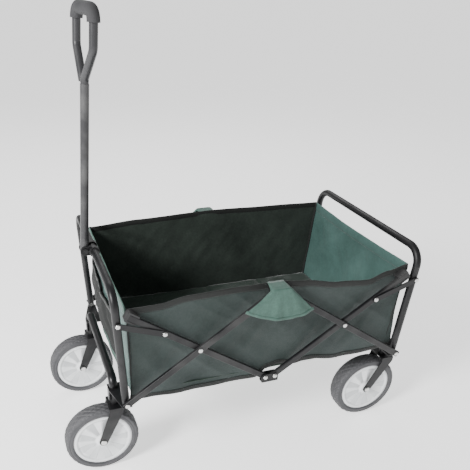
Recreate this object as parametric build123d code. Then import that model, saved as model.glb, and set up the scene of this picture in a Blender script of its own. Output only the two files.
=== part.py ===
"""Folding camp wagon: a fabric basket hung in two double scissors between two
inverted-U end frames, on two front casters and two fixed rear wheels.

X runs along the wagon (front and handle toward -X), Y across it (near side -Y),
Z up from the ground. Every size is in millimetres."""
import os
from math import atan2, cos, degrees, hypot, radians, sin, tan

from build123d import *

# Driving sizes
HALF_SPAN = 370.0        # centre of the wagon to each leg pivot
HALF_WIDTH = 244.0       # centre of the wagon to each leg's axis
PIVOT_ABOVE_FORK = 63.0  # lower pivots of the scissors above the forks
RISE = 244.0             # upper pivots above the lower ones
CROSSBAR_RISE = 293.0    # axis of the end frames' top rail above the lower pivots
WHEEL_RADIUS = 95.0
WHEEL_WIDTH = 45.0
FRONT_TRACK = 334.0
REAR_TRACK = 352.0
RIM_RISE = 250.0         # top edge of the fabric basket above the lower pivots
HANDLE_LENGTH = 540.0    # handle pivot to the top of the grip

# Tubes, bars and plates
TUBE_RADIUS = 9.5
TUBE_WALL = 1.5
CORNER_RADIUS = 44.0
LEG_BELOW_PIVOT = 11.0
FRONT_LEAN = 3.0
REAR_LEAN = 3.9
BAR_DEPTH = 16.0
BAR_THICKNESS = 9.0
BAR_WALL = 1.4
END_GAP = 13.0           # centre pivots sit this far to each side of the middle
LAYER_GAP = 0.5
PLATE = 3.0
RIVET_RADIUS = 3.0
HEAD_RADIUS = 5.5
HEAD_HEIGHT = 2.5
RUNNING_FIT = 0.05
OPEN_FIT = 0.6
TOP_PIN_FROM_END = 115.0  # short link's pin, measured along the bar
BAR_END_CUT = 14.0        # inner bars stop this short of the leg line
LINK_PIVOT_RISE = 218.0   # short link's pivot on the leg above the lower pivot
LINK_WIDTH = 14.0
WEB_OFFSET = 12.0
WEB_THICKNESS = 2.5
CENTRE_HALF_LENGTH = 22.0  # half the length of a centre bracket
PLATE_PAST_PIVOT = 9.0
TIE_RADIUS = 4.0          # stub that ties an upper bracket to the fabric wall
CAP_LENGTH = 24.0
CAP_WALL = 4.0
CAP_GAP = 2.0

# Lower cross tubes, forks and wheels
CROSS_TUBE_RADIUS = 11.0
CROSS_TUBE_BEND = 20.0
CROSS_TUBE_RISE = 10.0    # above the lower pivots
SOCKET_GAP = 7.0          # between a fork's top and the end of its socket
STEM_RADIUS = 6.0
STEM_IN_SOCKET = 40.0
SWIVEL_GAP = 0.4          # between a caster's collar and its socket
TYRE_TO_FORK = 4.0        # under the fork's top plate
FORK_PLATE = 2.5
FORK_TOP_LENGTH = 36.0
FORK_TIP_RADIUS = 11.0
FORK_GAP = 3.0
AXLE_RADIUS = 4.0
FRONT_TRAIL = 38.0
REAR_TRAIL = 50.0
FRONT_SOCKET_BACK = 15.0  # front sockets ahead of the front leg pivots
REAR_SOCKET_BACK = 30.0
HUB_RADIUS = 76.0
HUB_WIDTH = 40.0
BOSS_RADIUS = 15.0
FLANGE_FOOT = 8.0         # front bracket's flange ends this far above the socket's end
BRACKET_MARGIN = 14.0

# Handle
HANDLE_TO_RAIL = 1.1      # clear space between the handle and the front rail
HANDLE_LEAN = 4.5
HANDLE_RADIUS = 10.0
LOOP_LENGTH = 158.0
LOOP_HALF_WIDTH = 60.0
LOOP_TUBE_RADIUS = 9.2
LOOP_CORNER = 22.0
LOOP_SHOULDER = 72.0      # above the shaft's end the legs turn parallel
LOOP_TWIST = 7.5          # the loop stands a little turned on its shaft
LOOP_PLUG = 30.0
GRIP_RADIUS = 13.5
CHEEK_GAP = 0.6
CHEEK_RADIUS = 12.0
COLLAR_WALL = 3.5
COLLAR_WIDTH = 14.0

# Fabric
FABRIC = 2.0
FLOOR_RISE = 10.0         # floor above the lower pivots
WALL_OUTER = 233.0
FRONT_TOP_INSET = 15.0    # end panels inside the leg pivots, at the rim and at the floor
FRONT_FOOT_INSET = 18.0
REAR_TOP_INSET = 4.0
REAR_FOOT_INSET = 20.0
HEM_BELOW_FLOOR = 18.0
POCKET_SPAN = (-150.0, 190.0)
POCKET_ABOVE_FLOOR = 28.0
POCKET_HEIGHT = 140.0
POCKET_DEPTH = 20.0
POCKET_WALL = 1.5
RIM_SAG = 26.0
RIM_CROWN = 3.0
FLAP = 1.5
FLAP_HALF_SPAN = 88.0
FLAP_TOP_HALF = 22.0
FLAP_DROP = 93.0          # front corner below the flap's top fold, with the rear one 20 higher

os.makedirs("parts", exist_ok=True)

# Heights, built up from the wheels
FORK_TOP = 2 * WHEEL_RADIUS + TYRE_TO_FORK
SOCKET_BOTTOM = FORK_TOP + SOCKET_GAP
PIVOT_HEIGHT = FORK_TOP + PIVOT_ABOVE_FORK
UPPER = PIVOT_HEIGHT + RISE
CROSSBAR_HEIGHT = PIVOT_HEIGHT + CROSSBAR_RISE
LINK_PIVOT_HEIGHT = PIVOT_HEIGHT + LINK_PIVOT_RISE
CROSS_TUBE_HEIGHT = PIVOT_HEIGHT + CROSS_TUBE_RISE
FLOOR_HEIGHT = PIVOT_HEIGHT + FLOOR_RISE
RIM_HEIGHT = PIVOT_HEIGHT + RIM_RISE
POCKET_FOOT = FLOOR_HEIGHT + POCKET_ABOVE_FLOOR
POCKET_TOP = POCKET_FOOT + POCKET_HEIGHT

# Places along the wagon and layers of bars across it
FRONT_PANEL_TOP = FRONT_TOP_INSET - HALF_SPAN
FRONT_PANEL_FOOT = FRONT_FOOT_INSET - HALF_SPAN
REAR_PANEL_TOP = HALF_SPAN - REAR_TOP_INSET
REAR_PANEL_FOOT = HALF_SPAN - REAR_FOOT_INSET
REACH = HALF_SPAN - END_GAP
SPAN = hypot(REACH, RISE)
REST_ANGLE = degrees(atan2(RISE, REACH))
INNER_LAYER = HALF_WIDTH + TUBE_RADIUS + 1.0 - BAR_THICKNESS
INNER_OUT = INNER_LAYER + BAR_THICKNESS
LINK_LAYER = INNER_OUT + LAYER_GAP
OUTER_LAYER = LINK_LAYER
OUTER_OUT = OUTER_LAYER + BAR_THICKNESS


# The origin lies on the ground under the middle of the wagon's overall length
front_end = -HALF_SPAN - FRONT_SOCKET_BACK - FRONT_TRAIL - WHEEL_RADIUS
rear_end = HALF_SPAN + REAR_SOCKET_BACK - REAR_TRAIL + WHEEL_RADIUS
SHIFT = -(front_end + rear_end) / 2


def save(name, shape):
    export_step(Pos(SHIFT, 0, 0) * shape, f"parts/{name}.step")


def far(shape):
    return mirror(shape, about=Plane.XZ)


def rod(x, z, radius, y_low, y_high):
    """A round bar across the wagon, from y_low to y_high."""
    length = y_high - y_low
    return Pos(x, (y_low + y_high) / 2, z) * Rot(90, 0, 0) * Cylinder(radius, length)


def post(x, y, radius, z_low, z_high):
    return Pos(x, y, (z_low + z_high) / 2) * Cylinder(radius, z_high - z_low)


def block(x, y, z):
    """A box from three (low, high) pairs."""
    centre = Pos((x[0] + x[1]) / 2, (y[0] + y[1]) / 2, (z[0] + z[1]) / 2)
    return centre * Box(x[1] - x[0], y[1] - y[0], z[1] - z[0])


def rivet(x, z, y_inner, y_outer):
    """A near-side rivet whose shank runs between two y depths, with a head outside each."""
    shank = rod(x, z, RIVET_RADIUS, -y_outer, -y_inner)
    outside = rod(x, z, HEAD_RADIUS, -y_outer - HEAD_HEIGHT, -y_outer)
    inside = rod(x, z, HEAD_RADIUS, -y_inner, -y_inner + HEAD_HEIGHT / 2)
    domed = chamfer(outside.edges().group_by(Axis.Y)[0], 1.0)
    return shank + domed + inside


def flat_bar(start, end, layer, cut_start, cut_end, holes):
    """A flattened tube between two pivots. holes are (distance from start, radius)."""
    run = hypot(end[0] - start[0], end[1] - start[1])
    tilt = degrees(atan2(end[1] - start[1], end[0] - start[0]))
    low = -BAR_DEPTH / 2 + cut_start
    high = run + BAR_DEPTH / 2 - cut_end
    y_mid = -(layer + BAR_THICKNESS / 2)
    body = Pos((low + high) / 2, 0, 0) * Box(high - low, BAR_THICKNESS, BAR_DEPTH)
    body = fillet(body.edges().filter_by(Axis.X), 2.0)
    core = Box(high - low + 2, BAR_THICKNESS - 2 * BAR_WALL, BAR_DEPTH - 2 * BAR_WALL)
    body -= Pos((low + high) / 2, 0, 0) * core
    for along, radius in holes:
        body -= rod(along, 0, radius, -BAR_THICKNESS, BAR_THICKNESS)
    return Pos(start[0], y_mid, start[1]) * Rot(0, -tilt, 0) * body


def bent_tube(points, radius, bore, corner):
    """A round tube along a polyline whose corners are rounded."""
    path = FilletPolyline(*points, radius=corner)
    section = Plane(origin=path @ 0, z_dir=path % 0)
    tube = sweep(section * Circle(radius), path=path)
    if bore:
        tube -= sweep(section * Circle(bore), path=path)
    return tube


# Inverted-U end frames
def end_frame(foot_x, lean, outward):
    """Legs and top rail of one end, leaning outward from the leg pivots."""
    rise = (CROSSBAR_HEIGHT - PIVOT_HEIGHT) / cos(radians(lean))
    foot = -LEG_BELOW_PIVOT - 2.0
    points = [(0, -HALF_WIDTH, foot), (0, -HALF_WIDTH, rise), (0, HALF_WIDTH, rise), (0, HALF_WIDTH, foot)]
    tube = bent_tube(points, TUBE_RADIUS, TUBE_RADIUS - TUBE_WALL, CORNER_RADIUS)
    tube = Pos(foot_x, 0, PIVOT_HEIGHT) * Rot(0, outward * lean, 0) * tube
    under = PIVOT_HEIGHT - LEG_BELOW_PIVOT
    tube -= block((foot_x - 30, foot_x + 30), (-HALF_WIDTH - 20, HALF_WIDTH + 20), (under - 20, under))
    link_x = foot_x + outward * tan(radians(lean)) * (LINK_PIVOT_HEIGHT - PIVOT_HEIGHT)
    for x, z in ((foot_x, PIVOT_HEIGHT), (link_x, LINK_PIVOT_HEIGHT)):
        tube -= rod(x, z, RIVET_RADIUS, -HALF_WIDTH - 20, HALF_WIDTH + 20)
    return tube, link_x


front_frame, front_link_x = end_frame(-HALF_SPAN, FRONT_LEAN, -1)
rear_frame, rear_link_x = end_frame(HALF_SPAN, REAR_LEAN, 1)
save("front_frame_tube", front_frame)
save("rear_frame_tube", rear_frame)

leg_inside = HALF_WIDTH - TUBE_RADIUS
link_out = LINK_LAYER + PLATE
for end, foot_x, link_x in (("front", -HALF_SPAN, front_link_x), ("rear", HALF_SPAN, rear_link_x)):
    lower = rivet(foot_x, PIVOT_HEIGHT, leg_inside + 0.4, OUTER_OUT + 0.3)
    upper = rivet(link_x, LINK_PIVOT_HEIGHT, leg_inside + 0.4, link_out + 0.3)
    lower += rod(foot_x, PIVOT_HEIGHT, HEAD_RADIUS, -OUTER_LAYER + 0.3, -HALF_WIDTH - TUBE_RADIUS)
    save(f"{end}_frame_rivets", Compound([lower, upper, far(lower), far(upper)]))


# Lower cross tubes with their downturned sockets, and the leg brackets
def cross_tube(x, half_track, fixed):
    points = [(x, -half_track, SOCKET_BOTTOM), (x, -half_track, CROSS_TUBE_HEIGHT)]
    points += [(x, half_track, CROSS_TUBE_HEIGHT), (x, half_track, SOCKET_BOTTOM)]
    tube = bent_tube(points, CROSS_TUBE_RADIUS, 0, CROSS_TUBE_BEND)
    bore = STEM_RADIUS + (0 if fixed else RUNNING_FIT)
    for side in (-1, 1):
        tube -= post(x, side * half_track, bore, SOCKET_BOTTOM - 1, SOCKET_BOTTOM + STEM_IN_SOCKET + 4)
    hollow = half_track - CROSS_TUBE_BEND
    tube -= rod(x, CROSS_TUBE_HEIGHT, CROSS_TUBE_RADIUS - TUBE_WALL, -hollow, hollow)
    return tube


def leg_bracket(leg_x, socket_x, half_track, outward, flanged):
    """Tapered plate under the near leg that carries its load to the cross tube's socket."""
    top = PIVOT_HEIGHT - LEG_BELOW_PIVOT
    inner = leg_x - outward * BRACKET_MARGIN
    outer = socket_x + outward * (CROSS_TUBE_RADIUS + PLATE)
    deep = -half_track + CROSS_TUBE_RADIUS + 4.0
    outline = Polyline(
        (inner, -HALF_WIDTH - TUBE_RADIUS), (leg_x + outward * TUBE_RADIUS, -HALF_WIDTH - TUBE_RADIUS),
        (outer, -half_track - CROSS_TUBE_RADIUS), (outer, deep), (inner, deep), close=True)
    bracket = Pos(0, 0, top - PLATE) * extrude(make_face(outline.edges()), PLATE, dir=(0, 0, 1))
    bracket -= post(socket_x, -half_track, CROSS_TUBE_RADIUS, top - 10, top + 10)
    if flanged:
        face = socket_x - CROSS_TUBE_RADIUS
        beside = (-half_track - CROSS_TUBE_RADIUS, -half_track + CROSS_TUBE_RADIUS)
        flange = block((face - PLATE, face), beside, (SOCKET_BOTTOM + FLANGE_FOOT, top))
        bracket += chamfer(flange.edges().filter_by(Axis.X).group_by(Axis.Z)[0], 5.0)
    return bracket


front_socket_x = -HALF_SPAN - FRONT_SOCKET_BACK
rear_socket_x = HALF_SPAN + REAR_SOCKET_BACK
axles = (
    ("front", -HALF_SPAN, front_socket_x, FRONT_TRACK / 2, FRONT_TRAIL, False),
    ("rear", HALF_SPAN, rear_socket_x, REAR_TRACK / 2, REAR_TRAIL, True),
)
for end, leg_x, socket_x, half_track, trail, fixed in axles:
    save(f"{end}_cross_tube", cross_tube(socket_x, half_track, fixed))
    outward = -1 if end == "front" else 1
    bracket = leg_bracket(leg_x, socket_x, half_track, outward, end == "front")
    save(f"{end}_near_bracket", bracket)
    save(f"{end}_far_bracket", far(bracket))


# Forks and wheels
def fork(socket_x, y, trail, fixed):
    """Two tapered side plates under a top plate, with the stem that fills the socket."""
    hub_x, hub_z = socket_x - trail, WHEEL_RADIUS
    front, back = socket_x - FORK_TOP_LENGTH / 2, socket_x + FORK_TOP_LENGTH / 2
    inside = WHEEL_WIDTH / 2 + FORK_GAP
    low = FORK_TOP - 3 * PLATE
    slope = atan2(trail, low - hub_z)
    side_x, side_z = FORK_TIP_RADIUS * cos(slope), FORK_TIP_RADIUS * sin(slope)
    outline = Polyline(
        (front, FORK_TOP), (front, low), (hub_x - side_x, hub_z + side_z),
        (hub_x + side_x, hub_z - side_z), (back, low), (back, FORK_TOP), close=True)
    shape = make_face(outline.edges()) + Pos(hub_x, hub_z) * Circle(FORK_TIP_RADIUS)
    shape -= Pos(hub_x, hub_z) * Circle(AXLE_RADIUS)
    cheek = extrude(Plane.XZ * shape, FORK_PLATE)
    across = (-inside - FORK_PLATE, inside + FORK_PLATE)
    collar_top = SOCKET_BOTTOM - (0 if fixed else SWIVEL_GAP)
    body = Pos(0, -inside, 0) * cheek + Pos(0, inside + FORK_PLATE, 0) * cheek
    body += block((front, back), across, (FORK_TOP, FORK_TOP + PLATE))
    body += post(socket_x, 0, STEM_RADIUS, FORK_TOP, SOCKET_BOTTOM + STEM_IN_SOCKET)
    body += post(socket_x, 0, CROSS_TUBE_RADIUS, FORK_TOP, collar_top)
    return Pos(0, y, 0) * body


def axle_bolt(hub_x, y, outward):
    half = WHEEL_WIDTH / 2 + FORK_GAP + FORK_PLATE
    bolt = rod(hub_x, WHEEL_RADIUS, AXLE_RADIUS, -half - 1, half + 6)
    head = rod(hub_x, WHEEL_RADIUS, 7.5, -half - 4, -half)
    nut = Pos(hub_x, half + 3, WHEEL_RADIUS) * Rot(90, 0, 0) * extrude(RegularPolygon(7.5, 6), 3, both=True)
    bolt += chamfer(head.edges().group_by(Axis.Y)[0], 1.2) + nut
    if outward > 0:
        bolt = mirror(bolt, about=Plane.XZ)
    return Pos(0, y, 0) * bolt


def turned(points):
    """A closed profile of (radius, depth) pairs turned about the Y axis."""
    profile = make_face(Polyline(*[(r, d, 0) for r, d in points], close=True).edges())
    return revolve(profile, axis=Axis.Y)


def both_halves(right):
    """Close a profile that is the same on both sides of the wheel's middle."""
    return turned(right + [(r, -d) for r, d in reversed(right) if d])


def tyre():
    half = WHEEL_WIDTH / 2
    return both_halves([
        (HUB_RADIUS, 0), (HUB_RADIUS, half - 4), (HUB_RADIUS + 5, half), (WHEEL_RADIUS - 5, half - 2),
        (WHEEL_RADIUS - 1, half - 8), (WHEEL_RADIUS, half - 16), (WHEEL_RADIUS, 0)])


def hub():
    half = HUB_WIDTH / 2
    bore = AXLE_RADIUS + RUNNING_FIT
    boss = half + 4.0
    return both_halves([
        (bore, 0), (bore, boss), (BOSS_RADIUS, boss), (BOSS_RADIUS + 3, half - 1),
        (HUB_RADIUS - 11, half - 4), (HUB_RADIUS - 7, half - 0.5), (HUB_RADIUS - 4, half - 1.5),
        (HUB_RADIUS, half - 1.5), (HUB_RADIUS, 0)])


wheel_tyre, wheel_hub = tyre(), hub()
for end, leg_x, socket_x, half_track, trail, fixed in axles:
    for side, sign in (("near", -1), ("far", 1)):
        y = sign * half_track
        hub_x = socket_x - trail
        place = Pos(hub_x, y, WHEEL_RADIUS)
        save(f"{end}_{side}_fork", fork(socket_x, y, trail, fixed))
        save(f"{end}_{side}_axle_bolt", axle_bolt(hub_x, y, sign))
        save(f"{end}_{side}_hub", place * wheel_hub)
        save(f"{end}_{side}_tyre", place * wheel_tyre)

# Scissor bars
snug = RIVET_RADIUS
run_fit = RIVET_RADIUS + RUNNING_FIT
open_fit = RIVET_RADIUS + OPEN_FIT
cut = BAR_END_CUT / cos(radians(REST_ANGLE)) + BAR_DEPTH / 2
for end, sign in (("front", -1), ("rear", 1)):
    foot = (sign * HALF_SPAN, PIVOT_HEIGHT)
    head = (sign * HALF_SPAN, UPPER)
    mid_low = (sign * END_GAP, PIVOT_HEIGHT)
    mid_high = (sign * END_GAP, UPPER)
    holes = [(0, run_fit), (SPAN / 2, snug), (SPAN, run_fit)]
    lifting = flat_bar(foot, mid_high, OUTER_LAYER, 0, 0, holes)
    centre_fit = run_fit if end == "front" else open_fit
    holes = [(SPAN / 2, run_fit), (SPAN, centre_fit)]
    hanging = flat_bar(head, mid_low, INNER_LAYER, cut, 0, holes)
    crossing = ((foot[0] + mid_high[0]) / 2, (PIVOT_HEIGHT + UPPER) / 2)
    pin = rivet(*crossing, INNER_LAYER - 0.3, OUTER_OUT)
    for layer, shape in (("outer", lifting), ("inner", hanging)):
        save(f"{end}_near_{layer}_bar", shape)
        save(f"{end}_far_{layer}_bar", far(shape))
    save(f"{end}_scissor_rivets", Compound([pin, far(pin)]))

    # Plastic corner cap on the upper end of each inner bar
    half_cap = BAR_DEPTH / 2 + CAP_WALL
    cap = block((-6, CAP_LENGTH), (-INNER_OUT, -WALL_OUTER - CAP_GAP), (-half_cap, half_cap))
    cap = fillet(cap.edges().filter_by(Axis.Y), CAP_WALL)
    cap -= block((0, CAP_LENGTH + 6), (-INNER_OUT - 1, -INNER_LAYER), (-BAR_DEPTH / 2, BAR_DEPTH / 2))
    end_x = sign * (HALF_SPAN - BAR_END_CUT)
    end_z = UPPER - BAR_END_CUT * RISE / REACH
    tilt = degrees(atan2(-RISE, -sign * REACH))
    cap = Pos(end_x, 0, end_z) * Rot(0, -tilt, 0) * cap
    save(f"{end}_near_corner_cap", cap)
    save(f"{end}_far_corner_cap", far(cap))

    # Short link from the leg to the inner bar, outside both
    link_x = front_link_x if end == "front" else rear_link_x
    along = TOP_PIN_FROM_END / SPAN
    pin_x = sign * (HALF_SPAN - along * REACH)
    pin_z = UPPER - along * RISE
    length = hypot(pin_x - link_x, pin_z - LINK_PIVOT_HEIGHT)
    turn = degrees(atan2(pin_z - LINK_PIVOT_HEIGHT, pin_x - link_x))
    outline = SlotCenterToCenter(length, LINK_WIDTH)
    outline -= Pos(-length / 2, 0) * Circle(run_fit)
    link = Pos(length / 2, -LINK_LAYER, 0) * extrude(Plane.XZ * outline, PLATE)
    head = rod(length, 0, HEAD_RADIUS, -link_out - HEAD_HEIGHT, -link_out)
    link += chamfer(head.edges().group_by(Axis.Y)[0], 1.0)
    link = Pos(link_x, 0, LINK_PIVOT_HEIGHT) * Rot(0, -turn, 0) * link
    save(f"{end}_near_link", link)
    save(f"{end}_far_link", far(link))


# Centre brackets: two plates joined by a web, with a rivet for each bar
def centre_bracket(layer, z, up):
    inner, outer = layer - LAYER_GAP, layer + BAR_THICKNESS + LAYER_GAP
    web = z + up * WEB_OFFSET
    span = (-CENTRE_HALF_LENGTH, CENTRE_HALF_LENGTH)
    heights = sorted((z - up * PLATE_PAST_PIVOT, web))
    plates = block(span, (-inner, -inner + PLATE), heights)
    plates += block(span, (-outer - PLATE, -outer), heights)
    plates = fillet(plates.edges().filter_by(Axis.Y).group_by(Axis.Z)[0 if up > 0 else -1], 7.0)
    plates += block(span, (-outer - PLATE, -inner + PLATE), sorted((web, web + up * WEB_THICKNESS)))
    for x in (-END_GAP, END_GAP):
        plates += rivet(x, z, inner - PLATE, outer + PLATE)
    return plates


top_bracket = centre_bracket(OUTER_LAYER, UPPER, 1)
tie_height = UPPER - PLATE_PAST_PIVOT + TIE_RADIUS + 1.0
top_bracket += rod(0, tie_height, TIE_RADIUS, -OUTER_LAYER + LAYER_GAP + PLATE, -WALL_OUTER)
bottom_bracket = centre_bracket(INNER_LAYER, PIVOT_HEIGHT, -1)
save("near_top_bracket", top_bracket)
save("far_top_bracket", far(top_bracket))
save("near_bottom_bracket", bottom_bracket)
save("far_bottom_bracket", far(bottom_bracket))

# Handle, its bracket on the front rail, and the looped grip
rail_x = -HALF_SPAN - tan(radians(FRONT_LEAN)) * CROSSBAR_RISE
HANDLE_PIVOT_X = rail_x - TUBE_RADIUS - HANDLE_RADIUS - HANDLE_TO_RAIL
cheek_in = HANDLE_RADIUS + CHEEK_GAP
cheek_out = cheek_in + PLATE


def handle_cheek(side):
    """A collar clamped round the rail, with an arm out to the handle's bolt."""
    plate_y = sorted((side * cheek_in, side * cheek_out))
    heights = (CROSSBAR_HEIGHT - CHEEK_RADIUS, CROSSBAR_HEIGHT + CHEEK_RADIUS)
    collar_y = sorted((side * cheek_in, side * (cheek_in + COLLAR_WIDTH)))
    cheek = rod(rail_x, CROSSBAR_HEIGHT, TUBE_RADIUS + COLLAR_WALL, *collar_y)
    cheek += rod(HANDLE_PIVOT_X, CROSSBAR_HEIGHT, CHEEK_RADIUS, *plate_y)
    cheek += block((HANDLE_PIVOT_X, rail_x), plate_y, heights)
    cheek -= rod(rail_x, CROSSBAR_HEIGHT, TUBE_RADIUS, -60, 60)
    cheek -= rod(HANDLE_PIVOT_X, CROSSBAR_HEIGHT, AXLE_RADIUS, -60, 60)
    bolt_y = sorted((side * cheek_out, side * (cheek_out + 3.0)))
    return cheek + rod(HANDLE_PIVOT_X, CROSSBAR_HEIGHT, 7.0, *bolt_y)


bolt = rod(HANDLE_PIVOT_X, CROSSBAR_HEIGHT, AXLE_RADIUS, -cheek_out, cheek_out)
save("handle_bracket", bolt + handle_cheek(-1) + handle_cheek(1))

upright = Pos(HANDLE_PIVOT_X, 0, CROSSBAR_HEIGHT) * Rot(0, HANDLE_LEAN, 0)
shaft_top = HANDLE_LENGTH - LOOP_LENGTH
shaft_bore = HANDLE_RADIUS - TUBE_WALL
shaft = post(0, 0, HANDLE_RADIUS, 0, shaft_top) + Sphere(HANDLE_RADIUS)
shaft -= post(0, 0, shaft_bore, 14, shaft_top + 1)
shaft -= rod(0, 0, AXLE_RADIUS + RUNNING_FIT, -20, 20)
save("handle_tube", upright * shaft)

# The loop runs up from the shaft, over the top and back down to a welded end
loop_top = HANDLE_LENGTH - GRIP_RADIUS
shoulder = shaft_top + LOOP_SHOULDER
near_half = [
    (0, 0, shaft_top), (0, 0, shaft_top + 10), (0, -LOOP_HALF_WIDTH, shoulder),
    (0, -LOOP_HALF_WIDTH, loop_top), (0, 0, loop_top)]
far_half = [
    (0, 0, loop_top), (0, LOOP_HALF_WIDTH, loop_top), (0, LOOP_HALF_WIDTH, shoulder),
    (0, 1.6 * LOOP_TUBE_RADIUS, shaft_top + 6)]
loop = bent_tube(near_half, LOOP_TUBE_RADIUS, 0, LOOP_CORNER)
loop += bent_tube(far_half, LOOP_TUBE_RADIUS, 0, LOOP_CORNER)
plug_radius = shaft_bore - RUNNING_FIT
loop += post(0, 0, plug_radius, shaft_top - LOOP_PLUG, shaft_top + 1)
turned_loop = upright * Rot(0, 0, LOOP_TWIST)
save("handle_loop", turned_loop * loop)
grip_line = [
    (0, LOOP_HALF_WIDTH, loop_top - LOOP_CORNER), (0, LOOP_HALF_WIDTH, loop_top),
    (0, -LOOP_HALF_WIDTH, loop_top), (0, -LOOP_HALF_WIDTH, loop_top - LOOP_CORNER)]
save("handle_grip", turned_loop * bent_tube(grip_line, GRIP_RADIUS, LOOP_TUBE_RADIUS, LOOP_CORNER - 1e-3))

# Fabric basket: floor, two side walls with a sagging rim, two end panels
inside = WALL_OUTER - FABRIC
floor_span = (FRONT_PANEL_FOOT, REAR_PANEL_FOOT)
save("basket_floor", block(floor_span, (-inside, inside), (FLOOR_HEIGHT - FABRIC, FLOOR_HEIGHT)))


def end_panel(foot, top):
    step = FABRIC if foot > 0 else -FABRIC
    under = FLOOR_HEIGHT - FABRIC
    corners = [(foot, under), (top, RIM_HEIGHT), (top + step, RIM_HEIGHT), (foot + step, under)]
    outline = Polyline(*corners, close=True)
    return extrude(Plane.XZ * make_face(outline.edges()), inside, both=True)


save("basket_front_panel", end_panel(FRONT_PANEL_FOOT, FRONT_PANEL_TOP))
save("basket_rear_panel", end_panel(REAR_PANEL_FOOT, REAR_PANEL_TOP))

pocket_back = FRONT_PANEL_TOP - FABRIC
pocket_front = pocket_back - POCKET_DEPTH
hollow_span = (POCKET_SPAN[0] + POCKET_WALL, POCKET_SPAN[1] - POCKET_WALL)
pocket = block((pocket_front, pocket_back), POCKET_SPAN, (POCKET_FOOT, POCKET_TOP))
pocket -= block((pocket_front + POCKET_WALL, 0), hollow_span, (POCKET_FOOT + POCKET_WALL, POCKET_TOP + 1))
save("front_pocket", pocket)

crown = RIM_HEIGHT + RIM_CROWN
rim = Spline(
    (FRONT_PANEL_TOP - FABRIC, RIM_HEIGHT - 4), (-HALF_SPAN / 2, crown), (0, crown),
    (HALF_SPAN * 0.7, RIM_HEIGHT - RIM_SAG), (REAR_PANEL_TOP + FABRIC, RIM_HEIGHT))
hem = FLOOR_HEIGHT - HEM_BELOW_FLOOR
edge = Polyline(
    rim @ 1, (REAR_PANEL_FOOT + FABRIC, FLOOR_HEIGHT), (REAR_PANEL_FOOT - 40, hem + 12),
    (0, hem), (FRONT_PANEL_FOOT - FABRIC, hem), rim @ 0)
near_wall = Pos(0, -inside, 0) * extrude(Plane.XZ * make_face([*rim.edges(), *edge.edges()]), FABRIC)
save("basket_near_wall", near_wall)
save("basket_far_wall", far(near_wall))

# Fabric caps over the upper centre brackets
flap_y = OUTER_OUT + LAYER_GAP + PLATE + HEAD_HEIGHT + 1.0
fold = UPPER + WEB_OFFSET + WEB_THICKNESS
front_corner = (-FLAP_HALF_SPAN, fold + FLAP - FLAP_DROP + 36)
rear_corner = (FLAP_HALF_SPAN, fold + FLAP - FLAP_DROP + 16)
low_arc = ThreePointArc(rear_corner, (0, fold + FLAP - FLAP_DROP - 2), front_corner)
top_line = Polyline(front_corner, (-FLAP_TOP_HALF, fold + FLAP), (FLAP_TOP_HALF, fold + FLAP), rear_corner)
flap = Pos(0, -flap_y, 0) * extrude(Plane.XZ * make_face([*top_line.edges(), low_arc]), FLAP)
flap += block((-FLAP_TOP_HALF, FLAP_TOP_HALF), (-flap_y, -OUTER_LAYER + LAYER_GAP), (fold, fold + FLAP))
save("near_joint_flap", flap)
save("far_joint_flap", far(flap))
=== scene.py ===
import math

import bmesh
import bpy
from mathutils import Matrix, Vector, noise


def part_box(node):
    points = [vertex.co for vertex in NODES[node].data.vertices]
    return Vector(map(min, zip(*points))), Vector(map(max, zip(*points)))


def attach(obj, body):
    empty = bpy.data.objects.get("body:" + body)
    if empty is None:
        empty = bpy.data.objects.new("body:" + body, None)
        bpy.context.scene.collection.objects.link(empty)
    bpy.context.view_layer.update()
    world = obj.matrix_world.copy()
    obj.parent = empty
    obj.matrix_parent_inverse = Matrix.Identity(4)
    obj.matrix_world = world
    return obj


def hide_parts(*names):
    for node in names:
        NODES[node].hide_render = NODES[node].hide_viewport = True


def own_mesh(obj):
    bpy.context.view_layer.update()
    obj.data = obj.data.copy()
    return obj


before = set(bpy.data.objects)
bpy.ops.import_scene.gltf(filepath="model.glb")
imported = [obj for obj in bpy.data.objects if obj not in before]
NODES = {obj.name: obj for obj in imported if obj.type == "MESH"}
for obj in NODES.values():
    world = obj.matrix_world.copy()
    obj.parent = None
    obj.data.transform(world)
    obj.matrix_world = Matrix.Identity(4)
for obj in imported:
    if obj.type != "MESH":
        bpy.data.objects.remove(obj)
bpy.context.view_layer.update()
MM = 0.001
CLOTH = 0.0014         # thickness of walls, panels and floor
PANEL_INSET = 0.0012   # end panels stop this short of the side walls
PANEL_DROP = 0.004     # end panels reach this far below the floor


def middle(node):
    low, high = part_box(node)
    return (Vector(low) + Vector(high)) / 2


# ---------------------------------------------------------------- materials
def new_material(name, colour, rough, metal=0.0, specular=0.5):
    mat = bpy.data.materials.new(name)
    mat.use_nodes = True
    shader = mat.node_tree.nodes["Principled BSDF"]
    shader.inputs["Base Color"].default_value = (*colour, 1)
    shader.inputs["Roughness"].default_value = rough
    shader.inputs["Metallic"].default_value = metal
    shader.inputs["Specular IOR Level"].default_value = specular
    return mat, mat.node_tree, shader


def add(tree, kind, **values):
    node = tree.nodes.new(kind)
    for key, value in values.items():
        if key in node.inputs:
            node.inputs[key].default_value = value
        else:
            setattr(node, key, value)
    return node


def ramp(tree, source, low, high, from_value=0.0, to_value=1.0):
    node = add(tree, "ShaderNodeMapRange")
    node.inputs["From Min"].default_value = low
    node.inputs["From Max"].default_value = high
    node.inputs["To Min"].default_value = from_value
    node.inputs["To Max"].default_value = to_value
    tree.links.new(source, node.inputs["Value"])
    return node.outputs["Result"]


def blend_colour(tree, factor, first, second):
    node = add(tree, "ShaderNodeMix", data_type="RGBA")
    tree.links.new(factor, node.inputs["Factor"])
    node.inputs[6].default_value = (*first, 1)
    node.inputs[7].default_value = (*second, 1)
    return node.outputs[2]


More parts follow.
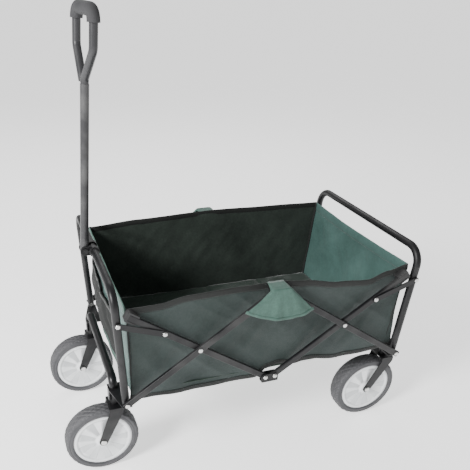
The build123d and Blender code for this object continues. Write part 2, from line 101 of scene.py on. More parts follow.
def bump(tree, shader, height, strength, distance, before=None):
    node = add(tree, "ShaderNodeBump")
    node.inputs["Strength"].default_value = strength
    node.inputs["Distance"].default_value = distance
    tree.links.new(height, node.inputs["Height"])
    if before is not None:
        tree.links.new(before, node.inputs["Normal"])
    tree.links.new(node.outputs["Normal"], shader.inputs["Normal"])
    return node.outputs["Normal"]


def powder_coat(name, colour, worn, rough):
    """Satin powder coat: fine orange peel, slight gloss variation, rubbed edges."""
    mat, tree, shader = new_material(name, colour, rough, specular=0.32)
    coords = add(tree, "ShaderNodeTexCoord").outputs["Object"]
    broad = add(tree, "ShaderNodeTexNoise", Scale=14.0, Detail=4.0)
    fine = add(tree, "ShaderNodeTexNoise", Scale=900.0, Detail=2.0)
    for node in (broad, fine):
        tree.links.new(coords, node.inputs["Vector"])
    geometry = add(tree, "ShaderNodeNewGeometry")
    pointy = ramp(tree, geometry.outputs["Pointiness"], 0.52, 0.60)
    mix = add(tree, "ShaderNodeMath", operation="MULTIPLY")
    tree.links.new(pointy, mix.inputs[0])
    tree.links.new(ramp(tree, broad.outputs["Fac"], 0.45, 0.7), mix.inputs[1])
    tree.links.new(blend_colour(tree, mix.outputs[0], colour, worn), shader.inputs["Base Color"])
    gloss = ramp(tree, broad.outputs["Fac"], 0.3, 0.7, rough - 0.07, rough + 0.1)
    tree.links.new(gloss, shader.inputs["Roughness"])
    bump(tree, shader, fine.outputs["Fac"], 0.12, 0.0004)
    return mat


POWDER = powder_coat("powder_black", (0.0062, 0.0062, 0.0070), (0.034, 0.034, 0.034), 0.40)
HANDLE = powder_coat("powder_grey", (0.034, 0.034, 0.036), (0.10, 0.10, 0.10), 0.32)


def zinc():
    """Zinc plate: bright, with small spots of uneven gloss."""
    mat, tree, shader = new_material("zinc_plate", (0.62, 0.62, 0.60), 0.32, metal=1.0)
    coords = add(tree, "ShaderNodeTexCoord").outputs["Object"]
    spots = add(tree, "ShaderNodeTexNoise", Scale=260.0, Detail=4.0)
    tree.links.new(coords, spots.inputs["Vector"])
    spangle = blend_colour(tree, spots.outputs["Fac"], (0.52, 0.52, 0.50), (0.72, 0.72, 0.71))
    tree.links.new(spangle, shader.inputs["Base Color"])
    tree.links.new(ramp(tree, spots.outputs["Fac"], 0.3, 0.7, 0.24, 0.42), shader.inputs["Roughness"])
    bump(tree, shader, spots.outputs["Fac"], 0.1, 0.0002)
    return mat


ZINC = zinc()


def moulded(name, colour, dark, rough, grain):
    """Moulded plastic, rubber or foam: fine grain and a slow change of tone."""
    mat, tree, shader = new_material(name, colour, rough)
    coords = add(tree, "ShaderNodeTexCoord").outputs["Object"]
    broad = add(tree, "ShaderNodeTexNoise", Scale=22.0, Detail=5.0)
    fine = add(tree, "ShaderNodeTexNoise", Scale=grain, Detail=2.0)
    for node in (broad, fine):
        tree.links.new(coords, node.inputs["Vector"])
    tone = blend_colour(tree, ramp(tree, broad.outputs["Fac"], 0.35, 0.75), colour, dark)
    tree.links.new(tone, shader.inputs["Base Color"])
    gloss = ramp(tree, broad.outputs["Fac"], 0.3, 0.7, rough - 0.06, rough + 0.08)
    tree.links.new(gloss, shader.inputs["Roughness"])
    bump(tree, shader, fine.outputs["Fac"], 0.25, 0.0003)
    return mat


BLACK_PLASTIC = moulded("black_plastic", (0.010, 0.010, 0.0105), (0.018, 0.018, 0.018), 0.55, 1400.0)
DISC_PLASTIC = moulded("disc_plastic", (0.86, 0.88, 0.89), (0.76, 0.78, 0.79), 0.30, 900.0)
# A darker copy of the disc plastic, used as painted shade on one half of each wheel-disc sector.
DISC_PAINTED_SHADE = moulded("disc_plastic_painted_shade", (0.66, 0.68, 0.69), (0.56, 0.58, 0.59), 0.34, 900.0)
# Lighter rubber along the tread's diamond grooves: a painted highlight for the thin light lines on the
# tread.
TREAD_HIGHLIGHT_LINE = moulded("tread_line_painted_highlight", (0.12, 0.12, 0.125), (0.08, 0.08, 0.084), 0.75, 700.0)
TYRE_RUBBER = moulded("tyre_rubber", (0.048, 0.048, 0.052), (0.085, 0.085, 0.090), 0.62, 700.0)
GRIP_FOAM = moulded("grip_foam", (0.022, 0.022, 0.024), (0.04, 0.04, 0.042), 0.8, 2400.0)


def repaint(material, *names):
    for name in names:
        mesh = NODES[name].data
        mesh.materials.clear()
        mesh.materials.append(material)


for name in NODES:
    if name.endswith("rivets") or name.endswith("axle_bolt"):
        repaint(ZINC, name)
    elif "corner_cap" in name:
        repaint(BLACK_PLASTIC, name)
    elif name in ("handle_tube", "handle_loop"):
        repaint(HANDLE, name)
    elif name == "handle_grip":
        repaint(GRIP_FOAM, name)
    elif name.endswith("hub"):
        repaint(DISC_PLASTIC, name)
    elif name.endswith("tyre"):
        repaint(TYRE_RUBBER, name)
    else:
        repaint(POWDER, name)

# ---------------------------------------------------------------- studio
mesh = bpy.data.meshes.new("studio_floor")
size = 60.0
corners = [(-size, -size, 0), (size, -size, 0), (size, size, 0), (-size, size, 0)]
mesh.from_pydata(corners, [], [(0, 1, 2, 3)])
floor = bpy.data.objects.new("studio_floor", mesh)
bpy.context.collection.objects.link(floor)
floor_mat, floor_tree, floor_shader = new_material("studio_paper", (0.93, 0.93, 0.93), 0.9)
grain = add(floor_tree, "ShaderNodeTexNoise", Scale=3.0)
paper = blend_colour(floor_tree, grain.outputs["Fac"], (0.93, 0.93, 0.93), (0.96, 0.96, 0.96))
floor_tree.links.new(paper, floor_shader.inputs["Base Color"])
floor_shader.inputs["Emission Color"].default_value = (1.0, 1.0, 1.0, 1)
floor_shader.inputs["Emission Strength"].default_value = 1.1
mesh.materials.append(floor_mat)

world = bpy.data.worlds.new("studio_world")
bpy.context.scene.world = world
world.use_nodes = True
world.node_tree.nodes["Background"].inputs["Color"].default_value = (1.0, 1.0, 1.0, 1)
world.node_tree.nodes["Background"].inputs["Strength"].default_value = 0.44


def softbox(name, place, target, size, power):
    light = bpy.data.lights.new(name, "AREA")
    light.shape = "RECTANGLE"
    light.size, light.size_y = size
    light.energy = power
    obj = bpy.data.objects.new(name, light)
    obj.location = place
    obj.rotation_euler = (Vector(target) - Vector(place)).to_track_quat("-Z", "Y").to_euler()
    bpy.context.collection.objects.link(obj)


softbox("key", (-2.5, -1.3, 2.0), (-0.1, 0, 0.35), (0.8, 0.8), 165)
softbox("fill", (2.4, -2.2, 1.6), (0.1, 0, 0.3), (1.6, 1.6), 3)
softbox("back", (0.2, 2.6, 2.8), (0, 0, 0.4), (2.6, 1.2), 40)

camera = bpy.data.cameras.new("camera")
camera.lens = 43.67
camera.sensor_width = 36.0
camera.shift_x = 0.1008
camera.shift_y = 0.1532
camera.clip_end = 60
eye = bpy.data.objects.new("camera", camera)
yaw, pitch, roll = 0.3211, 0.5278, -0.0145
ahead = Vector((math.sin(yaw) * math.cos(pitch), math.cos(yaw) * math.cos(pitch), -math.sin(pitch)))
right = Vector((math.cos(yaw), -math.sin(yaw), 0))
down = ahead.cross(right)
turned_right = math.cos(roll) * right + math.sin(roll) * down
turned_down = -math.sin(roll) * right + math.cos(roll) * down
axes = Matrix((turned_right, -turned_down, -ahead)).transposed()
eye.matrix_world = Matrix.Translation((-0.5308, -1.2927, 1.1347)) @ axes.to_4x4()
bpy.context.collection.objects.link(eye)
bpy.context.scene.camera = eye


# ---------------------------------------------------------------- fabrics
def woven(name, lit, shade, rough, thread=0.0011, sheen=0.25, weave=0.35):
    """Polyester plain weave: crossed threads, faint slubs, soft uneven tone."""
    mat, tree, shader = new_material(name, lit, rough, specular=0.3)
    shader.inputs["Sheen Weight"].default_value = sheen
    shader.inputs["Sheen Roughness"].default_value = 0.4
    coords = add(tree, "ShaderNodeTexCoord").outputs["Object"]
    split = add(tree, "ShaderNodeSeparateXYZ")
    tree.links.new(coords, split.inputs[0])
    along = add(tree, "ShaderNodeMath", operation="ADD")
    tree.links.new(split.outputs["X"], along.inputs[0])
    tree.links.new(split.outputs["Y"], along.inputs[1])
    threads = []
    for source in (along.outputs[0], split.outputs["Z"]):
        scaled = add(tree, "ShaderNodeMath", operation="MULTIPLY")
        tree.links.new(source, scaled.inputs[0])
        scaled.inputs[1].default_value = 2 * math.pi / thread
        wave = add(tree, "ShaderNodeMath", operation="SINE")
        tree.links.new(scaled.outputs[0], wave.inputs[0])
        threads.append(wave.outputs[0])
    cross = add(tree, "ShaderNodeMath", operation="MULTIPLY")
    tree.links.new(threads[0], cross.inputs[0])
    tree.links.new(threads[1], cross.inputs[1])
    broad = add(tree, "ShaderNodeTexNoise", Scale=7.0, Detail=6.0, Roughness=0.6)
    slub = add(tree, "ShaderNodeTexNoise", Scale=160.0, Detail=3.0)
    for node in (broad, slub):
        tree.links.new(coords, node.inputs["Vector"])
    mixed = add(tree, "ShaderNodeMath", operation="MULTIPLY_ADD")
    tree.links.new(slub.outputs["Fac"], mixed.inputs[0])
    mixed.inputs[1].default_value = 0.35
    tree.links.new(broad.outputs["Fac"], mixed.inputs[2])
    tone = ramp(tree, mixed.outputs[0], 0.45, 0.95)
    colour = add(tree, "ShaderNodeMix", data_type="RGBA")
    tree.links.new(tone, colour.inputs["Factor"])
    colour.inputs[6].default_value = (*shade, 1)
    colour.inputs[7].default_value = (*lit, 1)
    darker = add(tree, "ShaderNodeMix", data_type="RGBA", blend_type="MULTIPLY")
    tree.links.new(ramp(tree, cross.outputs[0], -1, 1, 0.0, weave), darker.inputs["Factor"])
    tree.links.new(colour.outputs[2], darker.inputs[6])
    darker.inputs[7].default_value = (0.45, 0.45, 0.45, 1)
    tree.links.new(darker.outputs[2], shader.inputs["Base Color"])
    gloss = ramp(tree, broad.outputs["Fac"], 0.3, 0.7, rough - 0.08, rough + 0.08)
    tree.links.new(gloss, shader.inputs["Roughness"])
    first = bump(tree, shader, cross.outputs[0], 0.25, 0.0003)
    bump(tree, shader, slub.outputs["Fac"], 0.2, 0.0010, first)
    return mat


OUTER_CLOTH = woven("cloth_grey_green", (0.038, 0.052, 0.050), (0.013, 0.025, 0.021), 0.60)
INNER_CLOTH = woven("cloth_night_green", (0.040, 0.054, 0.044), (0.014, 0.020, 0.016), 0.72, sheen=0.2)
TEAL_CLOTH = woven("cloth_teal", (0.076, 0.152, 0.136), (0.038, 0.084, 0.074), 0.6)
LIGHT_CLOTH = woven("cloth_light_green", (0.088, 0.175, 0.142), (0.034, 0.074, 0.058), 0.66, sheen=0.15)
FLOOR_CLOTH = woven("cloth_olive", (0.040, 0.066, 0.050), (0.018, 0.030, 0.022), 0.72)
TAPE = woven("binding_tape", (0.018, 0.020, 0.019), (0.010, 0.011, 0.010), 0.7, thread=0.0018, sheen=0.15)
MESH_CLOTH = woven("pocket_mesh", (0.014, 0.016, 0.015), (0.006, 0.007, 0.0065), 0.85,
                   thread=0.0030, sheen=0.0, weave=0.9)
THREAD = woven("stitch_thread", (0.060, 0.075, 0.068), (0.040, 0.050, 0.045), 0.6, thread=0.0006)


# ---------------------------------------------------------------- mesh tools
def new_object(name, verts, faces, materials):
    data = bpy.data.meshes.new(name)
    data.from_pydata([tuple(v) for v in verts], [], faces)
    data.update()
    for mat in materials:
        data.materials.append(mat)
    data.polygons.foreach_set("use_smooth", [True] * len(data.polygons))
    obj = bpy.data.objects.new(name, data)
    bpy.context.collection.objects.link(obj)
    return obj


def grid(name, columns, rows, place, materials):
    """A surface whose points are place(u, v) for u and v from 0 to 1."""
    verts = [place(i / columns, j / rows) for j in range(rows + 1) for i in range(columns + 1)]
    wide = columns + 1
    faces = [(j * wide + i, j * wide + i + 1, (j + 1) * wide + i + 1, (j + 1) * wide + i)
             for j in range(rows) for i in range(columns)]
    return new_object(name, verts, faces, materials)


def bake(obj):
    """Apply the modifiers on a piece."""
    depsgraph = bpy.context.evaluated_depsgraph_get()
    final = bpy.data.meshes.new_from_object(obj.evaluated_get(depsgraph))
    obj.modifiers.clear()
    obj.data = final


def thicken(obj, thickness, back=0):
    mod = obj.modifiers.new("cloth", "SOLIDIFY")
    mod.thickness = thickness
    mod.offset = 0
    mod.material_offset = back
    mod.use_even_offset = True
    bake(obj)


def along_line(points, step):
    """Points every step along a polyline, each with its direction."""
    out, left = [], 0.0
    for start, end in zip(points, points[1:]):
        run = (end - start).length
        way = (end - start) / run
        at = left
        while at < run:
            out.append((start + way * at, way))
            at += step
        left = at - run
    return out


def stitches(name, lines, out_ways):
    """Rows of short raised threads along lines, standing on the side out_ways point to."""
    length, gap, radius = 3.2, 2.2, 0.45
    verts, faces = [], []
    for points, out_way in zip(lines, out_ways):
        for place, way in along_line(points, (length + gap) * MM):
            up = Vector(out_way).normalized()
            side = way.cross(up).normalized()
            base = len(verts)
            half = length / 2 * MM
            for shift, size in ((-half, 0.35), (-half * 0.6, 1.0), (half * 0.6, 1.0), (half, 0.35)):
                for k in range(6):
                    turn = 2 * math.pi * k / 6
                    ring = side * math.cos(turn) + up * math.sin(turn)
                    verts.append(place + way * shift + ring * radius * MM * size)
            for row in range(3):
                for k in range(6):
                    a, b = base + row * 6 + k, base + row * 6 + (k + 1) % 6
                    faces.append((a, b, b + 6, a + 6))
            faces.append(tuple(base + k for k in reversed(range(6))))
            faces.append(tuple(base + 18 + k for k in range(6)))
    return new_object(name, verts, faces, [THREAD])


def ribbon(name, points, across, width, thickness, mats, roll=0.35):
    """A rounded strip of tape along points; across gives its width direction at each point."""
    verts, faces = [], []
    count = 12
    for index, place in enumerate(points):
        before = points[max(index - 1, 0)]
        after = points[min(index + 1, len(points) - 1)]
        way = (after - before).normalized()
        wide = Vector(across(index / (len(points) - 1)))
        wide = (wide - way * wide.dot(way)).normalized()
        out = way.cross(wide)
        for k in range(count):
            turn = 2 * math.pi * k / count
            cx, cy = math.cos(turn), math.sin(turn)
            flat = math.copysign(abs(cx) ** roll, cx)
            high = math.copysign(abs(cy) ** 0.8, cy)
            verts.append(place + wide * flat * width / 2 + out * high * thickness / 2)
    for index in range(len(points) - 1):
        for k in range(count):
            a, b = index * count + k, index * count + (k + 1) % count
            faces.append((a, b, b + count, a + count))
    last = (len(points) - 1) * count
    faces.append(tuple(reversed(range(count))))
    faces.append(tuple(last + k for k in range(count)))
    obj = new_object(name, verts, faces, mats)
    fix_normals(obj)
    return obj


def fix_normals(obj):
    shape = bmesh.new()
    shape.from_mesh(obj.data)
    bmesh.ops.recalc_face_normals(shape, faces=shape.faces)
    shape.to_mesh(obj.data)
    shape.free()


def lathe(name, profile, centre, mats, segments, wobble=None):
    """Turn (radius, depth) pairs about an axis along Y through centre."""
    verts, faces = [], []
    rows = len(profile)
    for s in range(segments):
        turn = 2 * math.pi * s / segments
        for radius, depth in profile:
            r, d = wobble(radius, depth, turn) if wobble else (radius, depth)
            verts.append(centre + Vector((r * math.sin(turn), d, r * math.cos(turn))))
    for s in range(segments):
        t = (s + 1) % segments
        for k in range(rows - 1):
            faces.append((s * rows + k, t * rows + k, t * rows + k + 1, s * rows + k + 1))
    return new_object(name, verts, faces, mats)


def smoothstep(x):
    x = min(max(x, 0.0), 1.0)
    return x * x * (3 - 2 * x)


def curve_through(knots):
    """A smooth function through (position, value) pairs."""
    def value(x):
        if x <= knots[0][0]:
            return knots[0][1]
        for (x0, y0), (x1, y1) in zip(knots, knots[1:]):
            if x <= x1:
                return y0 + (y1 - y0) * smoothstep((x - x0) / (x1 - x0))
        return knots[-1][1]
    return value


# ---------------------------------------------------------------- basket
(wall_x0, near_out, _), (wall_x1, near_in, _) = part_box("basket_near_wall")
wall_y = abs(near_out + near_in) / 2
floor_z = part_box("basket_floor")[1][2]
middle_x = middle("near_top_bracket").x
LONG = wall_x1 - wall_x0

# Heights above the floor along the wagon: rims, then the walls' lower edges
near_rim = curve_through([(0.0, 0.232), (0.10, 0.233), (0.20, 0.245), (0.34, 0.247), (0.50, 0.247),
                          (0.60, 0.238), (0.74, 0.221), (0.85, 0.214), (0.93, 0.231), (1.0, 0.243)])
far_rim = curve_through([(0.0, 0.241), (0.2, 0.249), (0.5, 0.254), (0.8, 0.248), (1.0, 0.244)])
near_hem = curve_through([(0.0, -0.016), (0.06, -0.021), (0.21, -0.024), (0.45, -0.021), (0.495, 0.002),
                          (0.54, 0.007), (0.60, -0.001), (0.66, 0.003), (0.78, -0.009), (0.92, -0.006),
                          (1.0, 0.0)])
far_hem = curve_through([(0.0, -0.014), (0.3, -0.022), (0.6, -0.016), (1.0, -0.012)])


def folds(x, z, seed, size):
    """Wrinkles: long slanted folds and short creases, in metres."""
    place = Vector((x * 5.0 + z * 3.5, z * 5.0 - x * 1.2, seed))
    slanted = noise.noise(Vector((x * 9.0 + z * 7.0, (z - x * 0.4) * 2.2, seed + 7.0)))
    short = noise.noise(Vector((x * 34.0 - z * 22.0, z * 14.0 + x * 6.0, seed + 3.0)))
    sharp = 1.0 - abs(noise.noise(Vector((x * 13.0 + z * 16.0, z * 4.0, seed + 11.0)))) * 2.0
    return size * (0.9 * noise.noise(place) + 0.8 * slanted + 0.22 * short + 0.35 * sharp)


def side_wall(side, rim, foot_line, seed):
    """One long wall: outward is -Y on the near side, +Y on the far side."""
    sign = -1 if side == "near" else 1

    def place(u, v):
        x = wall_x0 + LONG * u
        low, high = floor_z + foot_line(u), floor_z + rim(u)
        z = low + (high - low) * v
        held = math.sin(math.pi * v) ** 0.7 * min(1.0, 9 * u, 9 * (1 - u))
        bulge = -0.004 * held + folds(x, z, seed, 0.0088) * (0.2 + 0.8 * held)
        lean = 0.0025 * (v - 0.5)
        edge = 0.0016 * math.sin(x * 60 + seed) * (1 - v) ** 3
        end_pull = 0.006 * math.sin(math.pi * v)
        inset = end_pull * (smoothstep(1 - u / 0.05) - smoothstep((u - 0.95) / 0.05))
        return Vector((x + inset, sign * (wall_y + lean + bulge + edge), z))

    obj = grid(f"{side}_wall_cloth", 190, 70, place, [OUTER_CLOTH, INNER_CLOTH])
    if sign > 0:
        obj.data.flip_normals()
    return obj, place


def ride_soft(obj):
    """Let a piece of the basket move with the top brackets, on a mesh of its own."""
    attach(obj, "top_brackets")
    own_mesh(obj)


for side, rim, foot_line, seed in (("near", near_rim, near_hem, 1.7),
                                   ("far", far_rim, far_hem, 9.2)):
    sign = -1 if side == "near" else 1
    wall, place = side_wall(side, rim, foot_line, seed)
    thicken(wall, CLOTH, back=1)
    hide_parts(f"basket_{side}_wall")
    edge = [place(i / 120, 1.0) for i in range(121)]
    binding = ribbon(f"{side}_rim_binding", [p + Vector((0, 0, -0.0055)) for p in edge],
                     lambda t: (0, 0, 1), 0.016, 0.0042, [TAPE])
    foot = [place(i / 120, 0.0) for i in range(121)]
    hem = ribbon(f"{side}_hem_binding", [p + Vector((0, 0, 0.005)) for p in foot],
                 lambda t: (0, 0, 1), 0.013, 0.0036, [TAPE])
    rows = [[p + Vector((0, sign * 0.0022, -0.0105)) for p in edge],
            [p + Vector((0, sign * 0.0019, 0.0095)) for p in foot]]
    seam = stitches(f"{side}_wall_stitching", rows, [(0, sign, 0)] * len(rows))
    for piece in (wall, binding, hem, seam):
        ride_soft(piece)


def end_wall(end, seed):
    """One end panel, leaning out towards its rim between the two side walls."""
    (x_low, _, _), (x_high, _, _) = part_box(f"basket_{end}_panel")
    at = 0 if end == "front" else 1
    outward = -1 if end == "front" else 1
    top_x = x_low if end == "front" else x_high
    foot_x = x_high if end == "front" else x_low
    half = wall_y - PANEL_INSET

    def place(u, v):
        y = -half + 2 * half * u
        top = floor_z + (near_rim(at) * (1 - u) + far_rim(at) * u)
        low = floor_z - PANEL_DROP
        z = low + (top - low) * v - 0.006 * math.sin(math.pi * u) * v ** 3
        held = math.sin(math.pi * v) ** 0.7 * min(1.0, 8 * u, 8 * (1 - u))
        out = 0.006 * held + folds(y, z, seed, 0.0105) * (0.2 + 0.8 * held)
        return Vector((foot_x + (top_x - foot_x) * v + outward * out, y, z))

    return grid(f"{end}_panel_cloth", 110, 64, place, [TEAL_CLOTH]), place, outward, half


panel_places = {}
for end, seed in (("front", 4.1), ("rear", 6.6)):
    panel, place, outward, half = end_wall(end, seed)
    panel_places[end] = place
    thicken(panel, CLOTH)
    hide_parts(f"basket_{end}_panel")
    top_line = [place(i / 80, 1.0) + Vector((0, 0, -0.012)) for i in range(81)]
    hem = ribbon(f"{end}_panel_hem", top_line, lambda t: (0, 0, 1), 0.028, 0.0046,
                 [LIGHT_CLOTH if end == "front" else TEAL_CLOTH])
    rows = [[p + Vector((side * 0.0025, 0, -0.011)) for p in top_line] for side in (-1, 1)]
    seam = stitches(f"{end}_panel_stitching", rows, [(-1, 0, 0), (1, 0, 0)])
    corners = []
    for side in (-1, 1):
        u = 0.5 + side * 0.497
        line = [place(u, i / 40) - Vector((outward * 0.002, 0, 0)) for i in range(41)]
        corners.append(ribbon(f"{end}_{'near' if side < 0 else 'far'}_corner_piping", line,
                              lambda t: (0, 1, 0), 0.008, 0.005, [TAPE], roll=0.7))
    for piece in (panel, hem, seam, *corners):
        ride_soft(piece)

# Floor: four stiff boards under the cloth leave shallow fold lines between them
(floor_x0, floor_y0, _), (floor_x1, floor_y1, _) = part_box("basket_floor")
BOARDS = 4


def floor_place(u, v):
    x = floor_x0 + (floor_x1 - floor_x0) * u
    y = floor_y0 + (floor_y1 - floor_y0) * v
    fold = abs(u * BOARDS - round(u * BOARDS)) / BOARDS * (floor_x1 - floor_x0)
    groove = 0.0022 * math.exp(-(fold / 0.006) ** 2) if 0.02 < u < 0.98 else 0
    sag = 0.004 * math.sin(math.pi * u) * math.sin(math.pi * v)
    return Vector((x, y, floor_z - 0.0006 - groove - sag + folds(x, y, 2.4, 0.0011)))


ground = grid("floor_cloth", 150, 90, floor_place, [FLOOR_CLOTH])
thicken(ground, CLOTH)
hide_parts("basket_floor")
ride_soft(ground)


# Cone-shaped caps over the upper centre brackets
def joint_cone(side):
    sign = -1 if side == "near" else 1
    (x0, y0, low), (x1, y1, high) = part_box(f"{side}_joint_flap")
    face = max(abs(y0), abs(y1))
    half = (x1 - x0) / 2
    (bracket_x0, _, _), (bracket_x1, _, bracket_top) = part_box(f"{side}_top_bracket")
    peak = bracket_top + 0.0026
    crown = (bracket_x1 - bracket_x0) / 2 + 0.006
    inner_y = wall_y + 0.001
    over = 0.16

    def place(u, v):
        """Over the bracket's top first, then down and outwards as a folded bell."""
        turn = (u - 0.5) * 2
        across, drop = min(1.0, v / over), max(0.0, (v - over) / (1 - over))
        x = middle_x + turn * (crown * (0.72 + 0.28 * across) + (half - crown) * drop ** 0.9)
        out = inner_y + (face + 0.002 - inner_y) * math.sin(math.pi / 2 * across)
        out -= 0.008 * turn ** 8 * across * (1 - drop) ** 3
        foot = low + 0.016 + 0.022 * turn * turn - 0.010 * turn
        top = peak - 0.0010 * across ** 3 - 0.007 * turn ** 8 * across
        z = top + (foot - top) * drop ** 0.94
        crease = math.cos(turn * 8.0 + 0.8) * 0.6 + math.cos(turn * 15.0 + 2.0) * 0.4
        out += (0.0035 * (1 - turn * turn) + 0.0024 * crease) * drop
        out += folds(x, z, 5.5, 0.0010) * drop
        return Vector((x, sign * out, z))

    cone = grid(f"{side}_joint_cone", 80, 44, place, [LIGHT_CLOTH])
    thicken(cone, 0.0015)
    fix_normals(cone)
    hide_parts(f"{side}_joint_flap")
    edge = ribbon(f"{side}_cone_hem", [place(i / 60, 1.0) + Vector((0, 0, 0.003)) for i in range(61)],
                  lambda t: (0, 0, 1), 0.008, 0.0032, [LIGHT_CLOTH])
    rows = [[place(i / 60, 0.93) + Vector((0, sign * 0.0012, 0)) for i in range(61)]]
    seam = stitches(f"{side}_cone_stitching", rows, [(0, sign, 0)])
    for piece in (cone, edge, seam):
        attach(piece, "top_brackets")
        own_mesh(piece)


joint_cone("near")
joint_cone("far")

# Pocket of dark mesh on the front panel
(_, py0, pz0), (_, py1, pz1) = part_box("front_pocket")


def pocket_place(u, v):
    """The pocket lies on the leaning panel and bellies outwards from it."""
    y = py0 + (py1 - py0) * u
    z = pz0 + (pz1 - pz0) * v - 0.010 * math.sin(math.pi * u) * v ** 4
    panel_v = (z - floor_z + PANEL_DROP) / (near_rim(0) + PANEL_DROP)
    behind = panel_places["front"]((y / (wall_y - PANEL_INSET) + 1) / 2, panel_v)
    belly = math.sin(math.pi * u) ** 0.5 * (0.35 + 0.65 * math.sin(math.pi * min(1, v * 0.9)))
    return Vector((behind.x - 0.0035 - 0.011 * belly + folds(y, z, 8.8, 0.0016) * belly, y, z))


pocket = grid("front_pocket_mesh", 90, 44, pocket_place, [MESH_CLOTH])
thicken(pocket, 0.0012)
fix_normals(pocket)
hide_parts("front_pocket")
pocket_edges = []
for label, line in (("top", [pocket_place(i / 60, 1.0) for i in range(61)]),
                    ("foot", [pocket_place(i / 60, 0.0) for i in range(61)]),
                    ("near", [pocket_place(0.0, i / 30) for i in range(31)]),
                    ("far", [pocket_place(1.0, i / 30) for i in range(31)])):
    way = (0, 0, 1) if label in ("top", "foot") else (0, 1, 0)
    wide, cloth = (0.030, LIGHT_CLOTH) if label == "foot" else (0.011, TAPE)
    pocket_edges.append(ribbon(f"pocket_{label}_tape", line, lambda t, way=way: way, wide, 0.0034, [cloth]))
for piece in (pocket, *pocket_edges):
    ride_soft(piece)


# ---------------------------------------------------------------- wheels
def paint_fan_shade(disc, centre, count, inside, outside):
    """Painted shade: give the darker copy of the disc plastic to one half of each fan-shaped sector."""
    for face in disc.data.polygons:
        arm = face.center - centre
        radius = math.hypot(arm.x, arm.z)
        part = (math.atan2(arm.x, arm.z) * count / (2 * math.pi)) % 1.0
        if inside < radius < outside and part < 0.5:
            face.material_index = 1


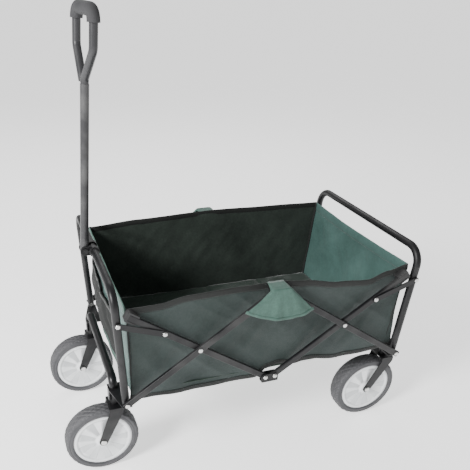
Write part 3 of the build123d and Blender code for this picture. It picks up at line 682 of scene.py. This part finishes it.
def wheel(end, side):
    body = f"{end}_{side}_wheel"
    centre = middle(f"{end}_{side}_tyre")
    (x0, y0, _), (x1, y1, _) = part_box(f"{end}_{side}_tyre")
    outer, half = (x1 - x0) / 2, (y1 - y0) / 2
    hub_r = (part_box(f"{end}_{side}_hub")[1][0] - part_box(f"{end}_{side}_hub")[0][0]) / 2
    hub_half = (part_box(f"{end}_{side}_hub")[1][1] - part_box(f"{end}_{side}_hub")[0][1]) / 2
    tread = 14 * MM
    lugs = 26

    def diamond(depth, turn):
        """How far a point of the tread lies from the nearest slanted groove."""
        a = turn * lugs / (2 * math.pi)
        b = depth / half * 1.6
        return min(abs(((a + b) % 1.0) - 0.5), abs(((a - b) % 1.0) - 0.5))

    def groove(radius, depth, turn):
        if radius < outer - 6 * MM:
            return radius, depth
        lines = diamond(depth, turn)
        cut = smoothstep(1 - lines / 0.16) if abs(depth) < half - 3 * MM else 0
        rib = smoothstep(1 - abs(depth) / (1.2 * MM))
        return radius - 2.4 * MM * max(cut, 0.8 * rib), depth

    right = [(hub_r - 0.5 * MM, half - 4 * MM), (hub_r + 2 * MM, half - 1.2 * MM),
             (hub_r + 5 * MM, half - 0.2 * MM), (hub_r + 8 * MM, half - 1.0 * MM),
             (hub_r + 8.8 * MM, half - 1.6 * MM), (hub_r + 9.6 * MM, half - 1.0 * MM),
             (outer - 5 * MM, half - 1.6 * MM), (outer - 3 * MM, half - 3.4 * MM),
             (outer - 1.3 * MM, half - 6 * MM), (outer - 0.6 * MM, half - 8 * MM)]
    crown = [(outer - 0.3 * MM * (abs(d) / tread) ** 2, d)
             for d in [tread * (1 - i / 14) for i in range(29)]]
    left = [(r, -d) for r, d in reversed(right)]
    rubber = [TYRE_RUBBER, TREAD_HIGHLIGHT_LINE]
    tyre = lathe(f"{end}_{side}_tread", right + crown + left, centre, rubber, 360, groove)
    # Faces along the diamond grooves take the lighter rubber, a painted highlight.
    for face in tyre.data.polygons:
        arm = face.center - centre
        on_tread = math.hypot(arm.x, arm.z) > outer - 6 * MM and abs(arm.y) < half - 3 * MM
        if on_tread and diamond(arm.y, math.atan2(arm.x, arm.z)) < 0.06:
            face.material_index = 1
    fix_normals(tyre)
    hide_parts(f"{end}_{side}_tyre")

    spokes = 9
    inside, outside = 20 * MM, hub_r - 11 * MM

    def sectors(radius, depth, turn):
        """Flat fan-shaped sectors, each a little tilted, between a boss and a rim ring."""
        if not inside < radius < outside:
            return radius, depth
        part = (turn * spokes / (2 * math.pi)) % 1.0
        rib = smoothstep(1 - min(part, 1 - part) / 0.035)
        reach = smoothstep((radius - inside) / (8 * MM)) * smoothstep((outside - radius) / (3 * MM))
        tilt = (part - 0.5) * 7.0 * MM
        lift = (2.2 * MM * rib + tilt * (1 - rib)) * reach
        return radius, depth + math.copysign(lift, depth)

    face = [(4.4 * MM, hub_half), (9 * MM, hub_half), (13.5 * MM, hub_half - 0.4 * MM),
            (15 * MM, hub_half - 2 * MM), (17 * MM, hub_half - 5 * MM), (20 * MM, hub_half - 6.5 * MM)]
    steps = 12
    for i in range(1, steps):
        hollow = 6.8 + 1.8 * math.sin(math.pi * i / steps)
        face.append((20 * MM + (hub_r - 31 * MM) * i / steps, hub_half - hollow * MM))
    face += [(hub_r - 10.5 * MM, hub_half - 6.6 * MM), (hub_r - 9 * MM, hub_half - 4.4 * MM),
             (hub_r - 7.5 * MM, hub_half - 3.9 * MM), (hub_r - 4 * MM, hub_half - 3.9 * MM),
             (hub_r - 2.6 * MM, hub_half - 4.8 * MM), (hub_r - 0.2 * MM, hub_half - 5.4 * MM)]
    back = [(r, -d) for r, d in reversed(face)]
    disc = lathe(f"{end}_{side}_disc", face + back, centre, [DISC_PLASTIC, DISC_PAINTED_SHADE], 270, sectors)
    paint_fan_shade(disc, centre, spokes, inside, outside)
    fix_normals(disc)
    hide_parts(f"{end}_{side}_hub")
    for piece, slot in ((tyre, "wheel_tyre"), (disc, "wheel_disc")):
        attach(piece, body)


for end in ("front", "rear"):
    for side in ("near", "far"):
        wheel(end, side)


# ---------------------------------------------------------------- rivet heads
HEAD_RADIUS = 5.9 * MM
HEAD_HEIGHT = 3.0 * MM
HEAD_SUNK = 2.4 * MM      # a head starts this far inside the face it stands on
LINK_HALF_WIDTH = 7 * MM
BRACKET_PIN = 9 * MM      # a bracket's pins: below its upper edge, and to each side of its middle
BRACKET_PIN_APART = 13 * MM


def dome(name, place, sign, body):
    """A domed rivet head on the outside of a bar, its axis along Y."""
    r, h = HEAD_RADIUS, HEAD_HEIGHT
    profile = [(r, 0.0), (r, 0.25 * h), (r * 0.93, 0.55 * h),
               (r * 0.72, 0.85 * h), (r * 0.40, 0.98 * h), (0.0004, h)]
    obj = lathe(name, [(radius, sign * depth) for radius, depth in profile], place, [ZINC], 28)
    fix_normals(obj)
    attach(obj, body)


SIDES = (("near", -1), ("far", 1))
for end in ("front", "rear"):
    for side, sign in SIDES:
        (x0, y0, z0), (x1, y1, _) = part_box(f"{end}_{side}_link")
        x = x1 - LINK_HALF_WIDTH if end == "front" else x0 + LINK_HALF_WIDTH
        y = sign * (max(abs(y0), abs(y1)) - HEAD_SUNK)
        dome(f"{end}_{side}_link_rivet", Vector((x, y, z0 + LINK_HALF_WIDTH)), sign, f"{end}_links")
for side, sign in SIDES:
    (_, y0, _), (_, y1, z1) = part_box(f"{side}_bottom_bracket")
    y = sign * (max(abs(y0), abs(y1)) - HEAD_SUNK)
    for label, shift in (("front", -BRACKET_PIN_APART), ("rear", BRACKET_PIN_APART)):
        pin = Vector((middle_x + shift, y, z1 - BRACKET_PIN))
        dome(f"{side}_bottom_{label}_rivet", pin, sign, "bottom_brackets")
